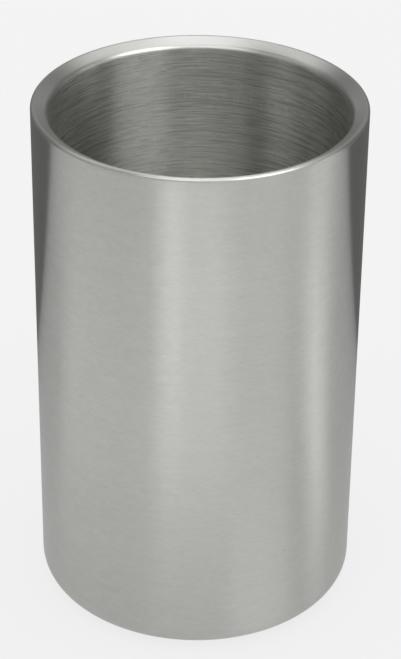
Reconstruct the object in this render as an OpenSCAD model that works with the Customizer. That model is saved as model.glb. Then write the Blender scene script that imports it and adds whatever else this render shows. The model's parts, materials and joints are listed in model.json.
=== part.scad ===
// Double-walled bottle cooler in brushed stainless steel.
// Two steel shells are joined at a funnel rim and closed by a pressed base plate.
// Z is up, the axis of the cooler is the Z axis, and the foot pad stands on Z = 0.

/* [Steel body] */
// Outside diameter of the straight wall
body_d = 120; // [110:1:130]
// Height of the steel body, from its lowest edge to the top of the rim
body_h = 197; // [170:1:230]
// Radius between the outer wall and the underside, measured outside
base_edge_r = 7.5; // [6:0.5:12]
// Thickness of the steel sheet
sheet_t = 0.6; // [0.4:0.05:0.6]
// Width of the air space between the outer wall and the wall of the well
wall_gap = 4.8; // [3:0.2:8]

/* [Well] */
// Radius between the wall and the floor of the well, measured inside
well_corner_r = 8; // [4:0.5:12]
// Height of the air space between the floor of the well and the base plate
floor_gap = 6; // [4:0.5:12]

/* [Rim] */
// Slope of the funnel between the two shells, in degrees
rim_slope = 30; // [20:1:40]
// Radius of the outer edge of the rim, measured outside
rim_edge_r = 1.2; // [0.7:0.1:1.5]
// Radius between the funnel and the wall of the well, measured on the steel's face
rim_throat_r = 2.4; // [1:0.1:2.5]
// Height of the skirt that turns down from the rim to meet the outer shell
skirt_h = 1.4; // [1:0.1:2]

/* [Base] */
// Width of the flange that the outer shell turns in under the body
base_flange_w = 5; // [4:0.5:7]
// Gap between the edge of the base plate and the start of the shell's bend
plate_edge_gap = 1; // [0.5:0.5:2]
// Width of the base plate's flat rim that shows inside the flange
plate_rim_w = 3; // [2.5:0.5:4]
// Rise of the base plate's centre panel above its rim
panel_rise = 1.2; // [0.9:0.1:2]
// Radius of the bends in the base plate, on the mid-line of the sheet
plate_bend_r = 0.5; // [0.4:0.1:0.6]
// Diameter of the vent hole that lets gas out of the air space during welding
vent_d = 3; // [2:0.5:5]

/* [Foot] */
// How far the foot pad stands below the steel
foot_proud = 0.8; // [0.4:0.1:1.2]
// Thickness of the adhesive film above the foot pad
film_t = 0.2; // [0.1:0.05:0.3]
// Gap between the edge of the foot pad and the wall of its recess
foot_gap = 0.8; // [0.5:0.1:1.5]
// Width of the bevel around the foot pad's lower edge
foot_bevel = 0.4; // [0.2:0.1:0.6]

/* [Support] */
// How far the foam support under the well stays inside the edge of the panel
support_inset = 5; // [3:1:10]
// Diameter of the hole in the foam support, clear of the vent plug
support_hole_d = 14; // [10:1:20]

/* [Hidden] */

$fn = 180;
bend_steps = 10;

half_t = sheet_t / 2;
body_r = body_d / 2;
well_r = body_r - wall_gap - 2 * sheet_t;

// Mid-lines of the sheet in the two walls and at the underside
shell_mid_r = body_r - half_t;
liner_mid_r = well_r + half_t;
flange_mid_z = foot_proud + half_t;

// The top of the rim and the line of the funnel's mid-line
top_z = foot_proud + body_h;
rim_mid_r = rim_edge_r - half_t;
rim_corner_z = top_z - rim_edge_r + rim_mid_r * (1 + sin(rim_slope)) / cos(rim_slope);
throat_corner_z = rim_corner_z - (shell_mid_r - liner_mid_r) * tan(rim_slope);
skirt_end_z = top_z - rim_edge_r - skirt_h;

// The underside: the shell's flange, the base plate on it and the plate's raised panel
flange_inner_r = body_r - base_edge_r - base_flange_w;
plate_rim_mid_z = flange_mid_z + sheet_t;
plate_outer_r = body_r - base_edge_r - plate_edge_gap;
panel_mid_z = plate_rim_mid_z + panel_rise;
panel_r = flange_inner_r - plate_rim_w;
panel_under_z = panel_mid_z - half_t;
panel_top_z = panel_mid_z + half_t;

// The floor of the well stands on the foam support
floor_mid_z = panel_top_z + floor_gap + half_t;
support_r = panel_r - support_inset;

// The foot pad fills the recess under the panel, apart from a gap around it
foot_r = panel_r - half_t - foot_gap;
foot_top_z = panel_under_z - film_t;

// Welds and the vent plug
weld_w = 0.8;
weld_overlap = 0.7;
plug_dome_h = 0.8;
plug_dome_spread = 0.6;

// Direction helpers for bent sheet
function unit(v) = v / norm(v);
function left_of(v) = [-v.y, v.x];
function turned(v, a) = [v.x * cos(a) - v.y * sin(a), v.x * sin(a) + v.y * cos(a)];
function turn_angle(u, v) = atan2(u.x * v.y - u.y * v.x, u * v);
function backwards(list) = [for (i = [len(list) - 1:-1:0]) list[i]];

// One bend: the points of the arc at distance d to the left of the mid-line
function bend(before, corner, after, mid_r, d) =
    let (
        u = unit(corner - before),
        v = unit(after - corner),
        angle = turn_angle(u, v),
        side = sign(angle),
        start = corner - u * mid_r * tan(abs(angle) / 2),
        centre = start + left_of(u) * side * mid_r
    )
    [
        for (i = [0:bend_steps])
            centre - turned(left_of(u), angle * i / bend_steps) * side * (mid_r - side * d)
    ];

// One face of a bent sheet: its mid-line moved by d to the left, with rounded bends
function face(path, radii, d) = [
    for (i = [0:len(path) - 1])
        each i == 0 ? [path[0] + d * left_of(unit(path[1] - path[0]))]
            : i == len(path) - 1 ? [path[i] + d * left_of(unit(path[i] - path[i - 1]))]
            : bend(path[i - 1], path[i], path[i + 1], radii[i], d)
];

// Sheet steel turned about Z from the corners of its mid-line and the radius at each
module turned_sheet(path, radii) {
    rotate_extrude()
        polygon(concat(face(path, radii, half_t), backwards(face(path, radii, -half_t))));
}

// Outer wall, rolled in under the body at its foot
module outer_shell() {
    path = [
        [flange_inner_r, flange_mid_z],
        [shell_mid_r, flange_mid_z],
        [shell_mid_r, skirt_end_z]
    ];
    color("silver") turned_sheet(path, [0, base_edge_r - half_t, 0]);
}

// Deep-drawn well with the funnel rim and its short skirt
module inner_liner() {
    path = [
        [0, floor_mid_z],
        [liner_mid_r, floor_mid_z],
        [liner_mid_r, throat_corner_z],
        [shell_mid_r, rim_corner_z],
        [shell_mid_r, skirt_end_z]
    ];
    radii = [0, well_corner_r + half_t, rim_throat_r - half_t, rim_mid_r, 0];
    color("gainsboro") turned_sheet(path, radii);
}

// Root of the weld that joins the skirt to the top of the outer shell, on the hidden side
module rim_weld() {
    root_r = body_r - sheet_t;
    color("dimgray") rotate_extrude() polygon([
        [root_r, skirt_end_z - weld_overlap],
        [root_r, skirt_end_z + weld_overlap],
        [root_r - weld_w / 2, skirt_end_z]
    ]);
}

// Pressed plate that closes the body, with a raised panel and a vent hole
module base_plate() {
    path = [
        [vent_d / 2, panel_mid_z],
        [panel_r, panel_mid_z],
        [panel_r + panel_rise / 2, plate_rim_mid_z],
        [plate_outer_r, plate_rim_mid_z]
    ];
    color("silver") turned_sheet(path, [0, plate_bend_r, plate_bend_r, 0]);
}

// Fillet weld between the flange's inner edge and the underside of the base plate
module base_weld() {
    color("dimgray") rotate_extrude() polygon([
        [flange_inner_r, foot_proud],
        [flange_inner_r, foot_proud + sheet_t],
        [flange_inner_r - weld_w, foot_proud + sheet_t]
    ]);
}

// Brazed plug that fills the vent hole and spreads into a low dome above the plate
module vent_plug() {
    hole_r = vent_d / 2;
    dome_r = hole_r + plug_dome_spread;
    ball_r = (dome_r * dome_r + plug_dome_h * plug_dome_h) / (2 * plug_dome_h);
    color("darkgray") {
        translate([0, 0, panel_under_z]) cylinder(r = hole_r, h = sheet_t);
        intersection() {
            translate([0, 0, panel_top_z + plug_dome_h - ball_r]) sphere(r = ball_r);
            translate([0, 0, panel_top_z]) cylinder(r = dome_r, h = plug_dome_h);
        }
    }
}

// Foam ring that carries the floor of the well on the base plate
module liner_support() {
    color("ivory") translate([0, 0, panel_top_z]) difference() {
        cylinder(r = support_r, h = floor_gap);
        translate([0, 0, -1]) cylinder(d = support_hole_d, h = floor_gap + 2);
    }
}

// Double-sided film between the panel and the foot pad
module pad_adhesive() {
    color("khaki") translate([0, 0, foot_top_z]) cylinder(r = foot_r - foot_bevel, h = film_t);
}

// Rubber disc that the cooler stands on
module foot_pad() {
    color("dimgray") rotate_extrude() polygon([
        [0, 0],
        [foot_r - foot_bevel, 0],
        [foot_r, foot_bevel],
        [foot_r, foot_top_z],
        [0, foot_top_z]
    ]);
}

outer_shell();
inner_liner();
rim_weld();
base_plate();
base_weld();
vent_plug();
liner_support();
pad_adhesive();
foot_pad();
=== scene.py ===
"""Double-walled bottle cooler in brushed stainless steel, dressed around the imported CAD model."""
import json
import math

import bmesh
import bpy
from mathutils import Euler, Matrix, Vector


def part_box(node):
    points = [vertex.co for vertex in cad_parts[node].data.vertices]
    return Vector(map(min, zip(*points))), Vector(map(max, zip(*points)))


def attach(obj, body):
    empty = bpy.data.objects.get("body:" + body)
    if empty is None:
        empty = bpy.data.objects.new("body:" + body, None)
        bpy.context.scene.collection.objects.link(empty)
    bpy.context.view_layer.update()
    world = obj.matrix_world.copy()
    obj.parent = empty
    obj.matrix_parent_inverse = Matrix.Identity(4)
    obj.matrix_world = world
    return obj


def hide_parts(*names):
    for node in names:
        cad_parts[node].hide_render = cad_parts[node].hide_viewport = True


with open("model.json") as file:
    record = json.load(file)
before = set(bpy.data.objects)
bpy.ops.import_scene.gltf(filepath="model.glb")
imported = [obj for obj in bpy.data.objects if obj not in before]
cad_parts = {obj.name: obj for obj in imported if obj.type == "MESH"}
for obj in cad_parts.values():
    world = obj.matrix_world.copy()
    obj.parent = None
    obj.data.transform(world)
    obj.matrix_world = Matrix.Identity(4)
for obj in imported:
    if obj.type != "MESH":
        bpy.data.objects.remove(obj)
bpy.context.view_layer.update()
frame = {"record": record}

MM = 0.001

# ---------------------------------------------------------------- sizes, from the frame

mounts = {mount["name"]: mount for mount in frame["record"]["mounts"]}
BODY_R = mounts["outer_wall"]["dims"]["r_mm"] * MM
WELL_R = mounts["bottle_well"]["dims"]["r_mm"] * MM

shell_low, shell_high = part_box("outer_shell")
liner_low, liner_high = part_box("inner_liner")
plate_low, plate_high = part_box("base_plate")
flange_weld_low, flange_weld_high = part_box("base_weld")
rim_weld_low, rim_weld_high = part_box("rim_weld")
plug_low, plug_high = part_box("vent_plug")
support_low, support_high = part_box("liner_support")
film_low, film_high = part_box("pad_adhesive")
pad_low, pad_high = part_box("foot_pad")

SHEET = 0.6 * MM
HALF = SHEET / 2
BASE_EDGE_R = 7.5 * MM
WELL_CORNER_R = 8.0 * MM
RIM_SLOPE = math.radians(30)
RIM_EDGE_R = 1.2 * MM
RIM_THROAT_R = 2.4 * MM
FLANGE_R = flange_weld_high.x
PLATE_BEND_R = 0.5 * MM
PLATE_RIM_W = 3.0 * MM
VENT_R = 1.5 * MM
CHATTER_DEPTH = 22.6 * MM

SEGMENTS = 320
BEND_STEPS = 12


# ---------------------------------------------------------------- mesh helpers

def left_of(v):
    return Vector((-v.y, v.x))


def turned(v, angle):
    cos, sin = math.cos(angle), math.sin(angle)
    return Vector((v.x * cos - v.y * sin, v.x * sin + v.y * cos))


def bend(before, corner, after, radius, offset, steps=BEND_STEPS):
    """The arc that replaces one corner, at a distance offset to the left of the line."""
    u = (corner - before).normalized()
    v = (after - corner).normalized()
    angle = math.atan2(u.x * v.y - u.y * v.x, u.dot(v))
    side = math.copysign(1, angle)
    start = corner - u * radius * math.tan(abs(angle) / 2)
    centre = start + left_of(u) * side * radius
    reach = side * (radius - side * offset)
    return [centre - turned(left_of(u), angle * i / steps) * reach for i in range(steps + 1)]


def face_line(corners, radii, offset=0.0):
    """One face of a bent sheet, from its mid-line's corners and the bend radius at each."""
    points = [Vector(corner) for corner in corners]
    line = [points[0] + left_of((points[1] - points[0]).normalized()) * offset]
    for i in range(1, len(points) - 1):
        line += bend(points[i - 1], points[i], points[i + 1], radii[i], offset)
    last = left_of((points[-1] - points[-2]).normalized()) * offset
    return line + [points[-1] + last]


def spaced(line, longest):
    """The same line with its long stretches divided into equal steps."""
    out = [line[0]]
    for a, b in zip(line, line[1:]):
        steps = max(1, math.ceil((b - a).length / longest))
        out += [a.lerp(b, i / steps) for i in range(1, steps + 1)]
    return out


def lathe(name, outline, segments=SEGMENTS, wobble=None, sharp=50):
    """A closed outline of (radius, height) points turned about Z into one closed mesh."""
    bm = bmesh.new()
    rings = []
    for point in outline:
        if point.x < 1e-7:
            rings.append([bm.verts.new((0, 0, point.y))])
            continue
        ring = []
        for step in range(segments):
            angle = 2 * math.pi * step / segments
            radius, height = (point.x, point.y) if wobble is None else wobble(point, angle)
            ring.append(bm.verts.new((radius * math.cos(angle), radius * math.sin(angle), height)))
        rings.append(ring)
    for low, high in zip(rings, rings[1:] + rings[:1]):
        join_rings(bm, low, high)
    bmesh.ops.recalc_face_normals(bm, faces=bm.faces)
    mesh = bpy.data.meshes.new(name)
    bm.to_mesh(mesh)
    bm.free()
    mesh.polygons.foreach_set("use_smooth", [True] * len(mesh.polygons))
    mesh.set_sharp_from_angle(angle=math.radians(sharp))
    piece = bpy.data.objects.new(name, mesh)
    bpy.context.scene.collection.objects.link(piece)
    return piece


def join_rings(bm, low, high):
    """Faces between two neighbouring rings of a turned mesh; a ring of one vertex is a pole."""
    count = max(len(low), len(high))
    if count == 1:
        return
    for step in range(count):
        after = (step + 1) % count
        if len(low) == 1:
            bm.faces.new((low[0], high[step], high[after]))
        elif len(high) == 1:
            bm.faces.new((low[step], low[after], high[0]))
        else:
            bm.faces.new((low[step], low[after], high[after], high[step]))


def turned_sheet(name, corners, radii, longest=6 * MM):
    """A piece of bent sheet steel turned about Z."""
    outside = spaced(face_line(corners, radii, HALF), longest)
    inside = spaced(face_line(corners, radii, -HALF), longest)
    return lathe(name, outside + inside[::-1])


def dress(piece, node, material):
    """Puts a finished piece in place of its CAD node."""
    piece.data.materials.append(material)
    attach(piece, "root")
    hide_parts(node)
    return piece


# ---------------------------------------------------------------- material helpers

class Graph:
    """The nodes of a material or a world, with short calls for those that are used most."""

    def __init__(self, owner):
        owner.use_nodes = True
        self.owner = owner
        self.tree = owner.node_tree
        self.tree.nodes.clear()

    def add(self, kind, inputs=None, **settings):
        made = self.tree.nodes.new(kind)
        for key, value in settings.items():
            setattr(made, key, value)
        for key, value in (inputs or {}).items():
            self.put(made.inputs[key], value)
        return made

    def put(self, socket, value):
        if isinstance(value, bpy.types.NodeSocket):
            self.tree.links.new(value, socket)
        else:
            socket.default_value = value

    def math(self, operation, *values):
        return self.add("ShaderNodeMath", dict(enumerate(values)), operation=operation).outputs[0]

    def place(self):
        """Where the point lies: x, y, z, and its distance from the axis, in metres."""
        object_place = self.add("ShaderNodeTexCoord").outputs["Object"]
        split = self.add("ShaderNodeSeparateXYZ", {0: object_place})
        x, y, z = split.outputs
        radius = self.math("SQRT", self.math("ADD", self.math("MULTIPLY", x, x),
                                             self.math("MULTIPLY", y, y)))
        return x, y, z, radius

    def vector(self, x, y, z):
        return self.add("ShaderNodeCombineXYZ", {0: x, 1: y, 2: z}).outputs[0]

    def noise(self, vector, scale, detail=2.0, roughness=0.5):
        values = {"Vector": vector, "Scale": scale, "Detail": detail, "Roughness": roughness}
        return self.add("ShaderNodeTexNoise", values).outputs["Fac"]

    def remap(self, value, low, high, new_low, new_high):
        values = {0: value, 1: low, 2: high, 3: new_low, 4: new_high}
        return self.add("ShaderNodeMapRange", values).outputs[0]

    def mix(self, factor, first, second):
        made = self.add("ShaderNodeMix", {0: factor, 6: first, 7: second}, data_type="RGBA")
        return made.outputs[2]

    def bump(self, height, distance, normal=None):
        values = {"Height": height, "Distance": distance, "Strength": 1.0}
        if normal is not None:
            values["Normal"] = normal
        return self.add("ShaderNodeBump", values).outputs[0]

    def surface(self, inputs):
        shader = self.add("ShaderNodeBsdfPrincipled", inputs)
        self.add("ShaderNodeOutputMaterial", {0: shader.outputs[0]})
        return self.owner


def material_graph(name):
    return Graph(bpy.data.materials.new(name))


def colour(red, green, blue):
    return (red, green, blue, 1.0)


def brush_lines(graph, layers):
    """Lines that run round the axis. Each layer is (how often it varies round the axis, and
    across the lines, both per metre, weight); the sum is centred on zero."""
    x, y, z, radius = graph.place()
    across = graph.math("ADD", z, radius)
    total = 0.0
    for around_scale, across_scale, weight in layers:
        vector = graph.vector(graph.math("MULTIPLY", x, around_scale),
                              graph.math("MULTIPLY", y, around_scale),
                              graph.math("MULTIPLY", across, across_scale))
        lines = graph.math("SUBTRACT", graph.noise(vector, 1.0), 0.5)
        total = graph.math("ADD", total, graph.math("MULTIPLY", lines, weight))
    return total


def scratches(graph):
    """Sparse long bright lines among the brushing."""
    lines = brush_lines(graph, [(24, 900, 1.0)])
    return graph.remap(lines, 0.12, 0.26, 0.0, 0.14)


def chatter_ring(graph):
    """A ring of short upright marks that the drawing tool left below the mouth of the well."""
    x, y, z, _ = graph.place()
    away = graph.math("ABSOLUTE", graph.math("SUBTRACT", z, CHATTER_Z))
    band = graph.remap(away, 0.5 * MM, 1.2 * MM, 1.0, 0.0)
    place = graph.vector(graph.math("MULTIPLY", x, CHATTER_AROUND),
                         graph.math("MULTIPLY", y, CHATTER_AROUND),
                         graph.math("MULTIPLY", z, CHATTER_UPRIGHT))
    marks = graph.noise(place, 1.0, 0.0)
    return graph.math("MULTIPLY", band, graph.remap(marks, 0.35, 0.65, -0.06, 0.11))


def steel(name, light, dark, roughness, swing, anisotropy, layers, depth, marks=()):
    """Brushed steel: stretched noise drives the colour, the roughness and the bump together.
    Marks change the colour alone."""
    graph = material_graph(name)
    lines = brush_lines(graph, layers)
    x, y, z, _ = graph.place()
    smudge = graph.math("SUBTRACT", graph.noise(graph.vector(x, y, z), SMUDGE_SCALE, 3.0), 0.5)
    shade = graph.math("ADD", lines, graph.math("MULTIPLY", smudge, SMUDGE_WEIGHT))
    for mark in marks:
        shade = graph.math("ADD", shade, mark(graph))
    tone = graph.remap(shade, -LINE_REACH, LINE_REACH, 0.0, 1.0)
    rough = graph.remap(lines, -LINE_REACH, LINE_REACH, roughness + swing, roughness - swing)
    tangent = graph.add("ShaderNodeTangent", direction_type="RADIAL", axis="Z").outputs[0]
    return graph.surface({
        "Base Color": graph.mix(tone, colour(*dark), colour(*light)),
        "Metallic": 1.0,
        "Roughness": rough,
        "Anisotropic": anisotropy,
        "Anisotropic Rotation": 0.25,
        "Tangent": tangent,
        "Normal": graph.bump(lines, depth),
    })


# ---------------------------------------------------------------- materials

LINE_REACH = 0.25
SMUDGE_SCALE = 22.0
SMUDGE_WEIGHT = 0.25
CHATTER_Z = liner_high.z - CHATTER_DEPTH
CHATTER_AROUND = 1000
CHATTER_UPRIGHT = 120

outer_steel = steel("outer_brushed_steel", (0.660, 0.663, 0.632), (0.580, 0.583, 0.556),
                    0.30, 0.03, 1.0, [(350, 2200, 0.7), (110, 900, 0.3), (30, 380, 0.12)], 0.01 * MM)
well_steel = steel("well_brushed_steel", (0.90, 0.903, 0.860), (0.46, 0.462, 0.440),
                   0.32, 0.05, 1.0, [(35, 1500, 1.2), (120, 1700, 1.0), (30, 600, 0.08)], 0.03 * MM,
                   [scratches, chatter_ring])
floor_steel = steel("well_floor_steel", (0.68, 0.683, 0.651), (0.58, 0.583, 0.556),
                    0.36, 0.02, 0.5, [(50, 1300, 1.0), (25, 420, 0.3)], 0.006 * MM)
rim_steel = steel("rim_satin_steel", (0.66, 0.663, 0.635), (0.62, 0.623, 0.595),
                  0.36, 0.02, 0.7, [(60, 2400, 0.6), (60, 900, 0.4)], 0.002 * MM)
base_steel = steel("base_mill_steel", (0.62, 0.62, 0.60), (0.50, 0.50, 0.48), 0.38, 0.05, 0.5,
                   [(60, 1800, 0.6), (20, 700, 0.4)], 0.01 * MM)


def weld_material():
    graph = material_graph("weld_bead")
    x, y, z, _ = graph.place()
    cells = graph.noise(graph.vector(x, y, z), 900.0, 4.0, 0.6)
    heat = graph.noise(graph.vector(x, y, z), 60.0, 2.0)
    return graph.surface({
        "Base Color": graph.mix(heat, colour(0.36, 0.33, 0.29), colour(0.47, 0.47, 0.46)),
        "Metallic": 1.0,
        "Roughness": graph.remap(cells, 0.3, 0.7, 0.45, 0.62),
        "Normal": graph.bump(cells, 0.04 * MM),
    })


def foam_material():
    graph = material_graph("closed_cell_foam")
    x, y, z, _ = graph.place()
    place = graph.vector(x, y, z)
    cells = graph.add("ShaderNodeTexVoronoi", {"Vector": place, "Scale": 900.0}).outputs[0]
    patches = graph.noise(place, 90.0, 3.0)
    return graph.surface({
        "Base Color": graph.mix(patches, colour(0.70, 0.69, 0.63), colour(0.84, 0.83, 0.78)),
        "Roughness": graph.remap(patches, 0.3, 0.7, 0.80, 0.92),
        "Normal": graph.bump(cells, 0.15 * MM),
    })


def film_material():
    graph = material_graph("adhesive_film")
    x, y, z, _ = graph.place()
    place = graph.vector(x, y, z)
    mottle = graph.noise(place, 140.0, 4.0, 0.6)
    return graph.surface({
        "Base Color": graph.mix(mottle, colour(0.60, 0.55, 0.38), colour(0.76, 0.72, 0.55)),
        "Roughness": graph.remap(mottle, 0.3, 0.7, 0.25, 0.45),
        "Normal": graph.bump(mottle, 0.03 * MM),
    })


def rubber_material():
    graph = material_graph("foot_rubber")
    x, y, z, _ = graph.place()
    place = graph.vector(x, y, z)
    grain = graph.noise(place, 1600.0, 3.0, 0.6)
    bloom = graph.noise(place, 45.0, 4.0)
    return graph.surface({
        "Base Color": graph.mix(bloom, colour(0.020, 0.020, 0.021), colour(0.046, 0.046, 0.047)),
        "Roughness": graph.remap(bloom, 0.3, 0.7, 0.62, 0.80),
        "Specular IOR Level": 0.35,
        "Normal": graph.bump(grain, 0.05 * MM),
    })


weld_steel = weld_material()
foam = foam_material()
adhesive = film_material()
rubber = rubber_material()


# ---------------------------------------------------------------- pieces

def outer_shell():
    mid_r = BODY_R - HALF
    flange_z = shell_low.z + HALF
    corners = [(FLANGE_R, flange_z), (mid_r, flange_z), (mid_r, shell_high.z)]
    piece = turned_sheet("brushed_outer_wall", corners, [0, BASE_EDGE_R - HALF, 0])
    return dress(piece, "outer_shell", outer_steel)


def inner_liner():
    liner_mid_r = WELL_R + HALF
    skirt_mid_r = BODY_R - HALF
    rim_mid_r = RIM_EDGE_R - HALF
    floor_mid_z = liner_low.z + HALF
    tangent = (1 + math.sin(RIM_SLOPE)) / math.cos(RIM_SLOPE)
    rim_z = liner_high.z - RIM_EDGE_R + rim_mid_r * tangent
    throat_z = rim_z - (skirt_mid_r - liner_mid_r) * math.tan(RIM_SLOPE)
    corners = [(0, floor_mid_z), (liner_mid_r, floor_mid_z), (liner_mid_r, throat_z),
               (skirt_mid_r, rim_z), (skirt_mid_r, shell_high.z)]
    radii = [0, WELL_CORNER_R + HALF, RIM_THROAT_R - HALF, rim_mid_r, 0]
    piece = turned_sheet("well_and_funnel_rim", corners, radii)
    dress(piece, "inner_liner", well_steel)
    piece.data.materials.append(rim_steel)
    piece.data.materials.append(outer_steel)
    piece.data.materials.append(floor_steel)
    rim_foot_z = throat_z - 0.8 * MM
    wall_foot_z = floor_mid_z + WELL_CORNER_R
    skirt_top_z = liner_high.z - RIM_EDGE_R
    for face in piece.data.polygons:
        radius = math.hypot(face.center.x, face.center.y)
        if radius > BODY_R - 0.1 * MM and face.center.z < skirt_top_z:
            face.material_index = 2
        elif face.center.z > rim_foot_z:
            face.material_index = 1
        elif face.center.z < wall_foot_z:
            face.material_index = 3
    return piece


def base_plate():
    panel_z = plate_high.z - HALF
    rim_z = plate_low.z + HALF
    panel_r = FLANGE_R - PLATE_RIM_W
    foot_r = panel_r + (panel_z - rim_z) / 2
    corners = [(VENT_R, panel_z), (panel_r, panel_z), (foot_r, rim_z), (plate_high.x, rim_z)]
    piece = turned_sheet("pressed_base_plate", corners, [0, PLATE_BEND_R, PLATE_BEND_R, 0])
    return dress(piece, "base_plate", base_steel)


def rippled(centre_r, centre_z, ripples, depth):
    """Moves a weld bead's points to and from its middle, as its ripples do."""
    centre = Vector((centre_r, centre_z))

    def wobble(point, angle):
        swell = 1 - depth * (0.5 + 0.5 * math.cos(ripples * angle + 0.7 * math.sin(9 * angle)))
        moved = centre + (point - centre) * swell
        return moved.x, moved.y

    return wobble


def rim_weld():
    root_r = rim_weld_high.x
    middle_z = (rim_weld_low.z + rim_weld_high.z) / 2
    half_height = (rim_weld_high.z - rim_weld_low.z) / 2
    bead_depth = 0.4 * MM
    steps = [math.pi * i / 10 for i in range(11)]
    outline = [Vector((root_r - bead_depth * math.sin(a), middle_z - half_height * math.cos(a)))
               for a in steps]
    wobble = rippled(root_r, middle_z, 260, 0.18)
    piece = lathe("rim_weld_root", outline, 1040, wobble)
    return dress(piece, "rim_weld", weld_steel)


def base_weld():
    lip_r, top_z = flange_weld_high.x, flange_weld_high.z
    leg_z = flange_weld_high.z - flange_weld_low.z
    leg_r = 0.8 * MM
    hollow = 0.18
    outline = [Vector((lip_r, top_z))]
    for i in range(9):
        t = i / 8
        dip = hollow * math.sin(math.pi * t)
        outline.append(Vector((lip_r - leg_r * (t - dip * t), top_z - leg_z * (1 - t) * (1 - dip))))
    wobble = rippled(lip_r, top_z, 210, 0.12)
    piece = lathe("base_weld_fillet", outline, 840, wobble)
    return dress(piece, "base_weld", weld_steel)


def vent_plug():
    plate_top_z = plate_high.z
    dome_r = plug_high.x
    dome_h = plug_high.z - plate_top_z
    outline = [Vector((0, plug_low.z)), Vector((VENT_R, plug_low.z)), Vector((VENT_R, plate_top_z)),
               Vector((dome_r, plate_top_z))]
    outline += [Vector((dome_r * math.cos(a), plate_top_z + dome_h * math.sin(a)))
                for a in (math.pi / 2 * i / 8 for i in range(1, 8))]
    outline.append(Vector((0, plug_high.z)))

    def wobble(point, angle):
        lump = 1 - 0.05 * (0.5 + 0.5 * math.sin(3 * angle)) if point.y > plate_top_z else 1
        return point.x * lump, point.y

    piece = lathe("brazed_vent_plug", outline, 64, wobble)
    return dress(piece, "vent_plug", weld_steel)


def rounded_ring(inner_r, outer_r, low_z, high_z, edge_r, steps=4):
    """Outline of a flat ring with rounded edges; an inner radius of 0 gives a disc."""
    corners = [(outer_r, low_z, -90), (outer_r, high_z, 0)]
    if inner_r:
        corners += [(inner_r, high_z, 90), (inner_r, low_z, 180)]
    outline = [] if inner_r else [Vector((0, low_z))]
    for radius, height, first in corners:
        centre_r = radius - edge_r if radius == outer_r else radius + edge_r
        centre_z = height + edge_r if height == low_z else height - edge_r
        for i in range(steps + 1):
            a = math.radians(first + 90 * i / steps)
            outline.append(Vector((centre_r + edge_r * math.cos(a), centre_z + edge_r * math.sin(a))))
    return outline if inner_r else outline + [Vector((0, high_z))]


def liner_support():
    hole_r = 7 * MM
    outline = rounded_ring(hole_r, support_high.x, support_low.z, support_high.z, 0.5 * MM)
    middle_z = (support_low.z + support_high.z) / 2
    half_height = (support_high.z - support_low.z) / 2

    def wobble(point, angle):
        cut = 0.12 * MM * math.sin(7 * angle + 1) * math.sin(3 * angle)
        bow = 0.35 * MM * (1 - ((point.y - middle_z) / half_height) ** 2)
        inward = bow + abs(cut)
        return point.x - inward if point.x > support_high.x / 2 else point.x + inward, point.y

    piece = lathe("foam_support_ring", spaced(outline, 2.5 * MM), 192, wobble)
    return dress(piece, "liner_support", foam)


def pad_adhesive():
    outline = rounded_ring(0, film_high.x, film_low.z, film_high.z, 0.06 * MM)

    def wobble(point, angle):
        nick = 0.15 * MM * (0.5 + 0.5 * math.sin(5 * angle + 2 * math.sin(2 * angle)))
        return point.x - (nick if point.x > film_high.x * 0.9 else 0), point.y

    piece = lathe("adhesive_film_disc", spaced(outline, 4 * MM), 192, wobble)
    return dress(piece, "pad_adhesive", adhesive)


def foot_pad():
    """A moulded disc with a rounded lower edge and three shallow grooves in its sole."""
    groove_w, groove_h = 1.2 * MM, 0.5 * MM
    edge_r = 0.4 * MM
    sole = [Vector((0, pad_low.z))]
    for groove_r in (12 * MM, 22 * MM, 32 * MM):
        sole += [Vector((groove_r - groove_w / 2 + groove_w * t,
                         pad_low.z + groove_h * math.sin(math.pi * t) ** 0.6))
                 for t in (i / 8 for i in range(9))]
    rest = rounded_ring(0, pad_high.x, pad_low.z, pad_high.z, edge_r)[1:]
    piece = lathe("ribbed_foot_pad", spaced(sole + rest, 4 * MM), 256)
    return dress(piece, "foot_pad", rubber)


outer_shell()
inner_liner()
rim_weld()
base_plate()
base_weld()
vent_plug()
liner_support()
pad_adhesive()
foot_pad()

# ---------------------------------------------------------------- camera

CAMERA_DISTANCE = 0.84
CAMERA_ELEVATION = math.radians(30.9)
CAMERA_ROLL = math.radians(0.7)
LENS = 122.6
SENSOR = 36.0
aim = Vector((1.1 * MM, 0, 103.5 * MM + shell_low.z))

camera_data = bpy.data.cameras.new("camera")
camera_data.lens = LENS
camera_data.sensor_width = SENSOR
camera = bpy.data.objects.new("camera", camera_data)
bpy.context.scene.collection.objects.link(camera)
back = Vector((0, -math.cos(CAMERA_ELEVATION), math.sin(CAMERA_ELEVATION)))
camera.location = aim + back * CAMERA_DISTANCE
camera.rotation_mode = "QUATERNION"
level_view = (-back).to_track_quat("-Z", "Y")
roll = Euler((0, 0, CAMERA_ROLL)).to_quaternion()
camera.rotation_quaternion = level_view @ roll
bpy.context.scene.camera = camera

# ---------------------------------------------------------------- stage

# Brushed steel shows what stands round it: a lit white table, which ends a little way behind the
# cooler, and a few soft boxes. Azimuths are in degrees: 0 is the camera's side, 90 is its right.

# Soft boxes: azimuth and elevation of the middle, half width, half height, and the light
SOFT_BOXES = [
    (50, 40, 25, 15, 4.0),
    (-10, 45, 30, 15, 2.0),
    (-70, 30, 35, 15, 0.5),
    (90, 10, 8, 15, 1.0),
    (180, 20, 40, 10, 0.2),
    (180, 65, 70, 20, 1.0),
    (0, 90, 180, 15, 1.2),
]
BOX_EDGE = 6.0
ROOM_LIGHT = 0.15

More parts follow.
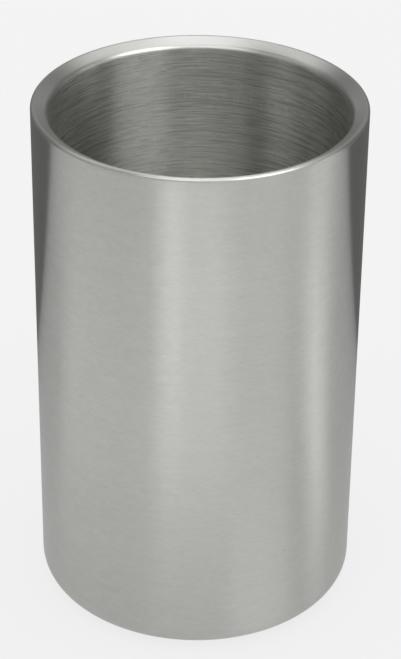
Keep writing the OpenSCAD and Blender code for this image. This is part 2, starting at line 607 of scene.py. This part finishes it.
# White boards on the table: azimuth and distance of the middle, half width in degrees, half
# length in metres, and the light that they add
TABLE_BOARDS = [
    (0, 0.35, 22, 0.15, 0.6),
    (-18, 0.45, 5, 0.20, 0.5),
    (-60, 0.35, 35, 0.20, 0.2),
    (80, 0.35, 8, 0.20, 0.5),
]
BOARD_EDGE = 8.0
BOARD_END = 0.04
TABLE_LIGHT = 0.65
TABLE_R = 1.2
TABLE_BACK_Y = 0.16


def eased(graph, away, reach, edge):
    """1 within reach of 0 on either side, easing to 0 across a soft edge."""
    return graph.remap(graph.math("ABSOLUTE", away), reach - edge, reach + edge, 1.0, 0.0)


def lit_patches(graph, x, y, level, patches, base, side_edge, end_edge):
    """An even base light, and the patches of light that stand in it."""
    azimuth = graph.math("DEGREES", graph.math("ARCTAN2", x, graph.math("MULTIPLY", y, -1.0)))
    total = base
    for turn, middle, half_width, half_length, light in patches:
        round_by = graph.math("WRAP", graph.math("SUBTRACT", azimuth, turn), 180.0, -180.0)
        across = eased(graph, round_by, half_width, side_edge)
        along = eased(graph, graph.math("SUBTRACT", level, middle), half_length, end_edge)
        patch = graph.math("MULTIPLY", graph.math("MULTIPLY", across, along), light)
        total = graph.math("ADD", total, patch)
    return total


def stage_plane(name, corners, material):
    mesh = bpy.data.meshes.new(name)
    mesh.from_pydata([(x, y, 0) for x, y in corners], [], [range(len(corners))])
    mesh.materials.append(material)
    plane = bpy.data.objects.new(name, mesh)
    bpy.context.scene.collection.objects.link(plane)
    return plane


PALE = 0.9
SKY_ON_MATT = 1.1
FLOOR_GLOW = 0.85


def floor():
    """The pale floor that the camera sees. Steel sees the light table in its place."""
    graph = material_graph("pale_floor")
    x, y, z, _ = graph.place()
    mottle = graph.noise(graph.vector(x, y, z), 3.0, 3.0)
    grey = PALE / SKY_ON_MATT
    pale = graph.mix(mottle, colour(grey - 0.01, grey - 0.01, grey - 0.01),
                     colour(grey + 0.01, grey + 0.01, grey + 0.01))
    material = graph.surface({
        "Base Color": graph.mix(FLOOR_GLOW, pale, colour(0, 0, 0)),
        "Roughness": 0.9,
        "Specular IOR Level": 0.0,
        "Emission Color": colour(1.0, 1.0, 1.0),
        "Emission Strength": PALE * FLOOR_GLOW,
    })
    half = 3.0
    corners = [(-half, -half), (half, -half), (half, half), (-half, half)]
    plane = stage_plane("floor", corners, material)
    plane.location.z = -0.1 * MM
    plane.visible_glossy = False


def light_table():
    """A lit board under and in front of the cooler, which ends a little way behind it."""
    graph = material_graph("light_table")
    x, y, _, radius = graph.place()
    light = lit_patches(graph, x, y, radius, TABLE_BOARDS, TABLE_LIGHT, BOARD_EDGE, BOARD_END)
    lit = graph.add("ShaderNodeEmission", {1: light})
    graph.add("ShaderNodeOutputMaterial", {0: lit.outputs[0]})
    side = math.acos(-TABLE_BACK_Y / TABLE_R)
    steps = 48
    turns = [side * (2 * i / steps - 1) for i in range(steps + 1)]
    corners = [(TABLE_R * math.sin(turn), -TABLE_R * math.cos(turn)) for turn in turns]
    plane = stage_plane("light_table", corners, graph.owner)
    plane.visible_camera = False
    plane.visible_diffuse = False
    plane.visible_shadow = False


def studio_world():
    """Pale for the camera and an even light on matt surfaces; steel sees the soft boxes."""
    world = bpy.data.worlds.new("studio")
    graph = Graph(world)
    direction = graph.add("ShaderNodeTexCoord").outputs["Generated"]
    x, y, z = graph.add("ShaderNodeSeparateXYZ", {0: direction}).outputs
    elevation = graph.math("DEGREES", graph.math("ARCSINE", z))
    boxes = lit_patches(graph, x, y, elevation, SOFT_BOXES, ROOM_LIGHT, BOX_EDGE, BOX_EDGE)
    path = graph.add("ShaderNodeLightPath")
    even_light = colour(SKY_ON_MATT, SKY_ON_MATT, SKY_ON_MATT)
    light = graph.mix(path.outputs["Is Glossy Ray"], even_light, boxes)
    light = graph.mix(path.outputs["Is Camera Ray"], light, colour(PALE, PALE, PALE))
    background = graph.add("ShaderNodeBackground", {0: light})
    graph.add("ShaderNodeOutputWorld", {0: background.outputs[0]})
    world.cycles.sampling_method = "NONE"
    bpy.context.scene.world = world


floor()
light_table()
studio_world()
bpy.context.scene.view_settings.view_transform = "Standard"
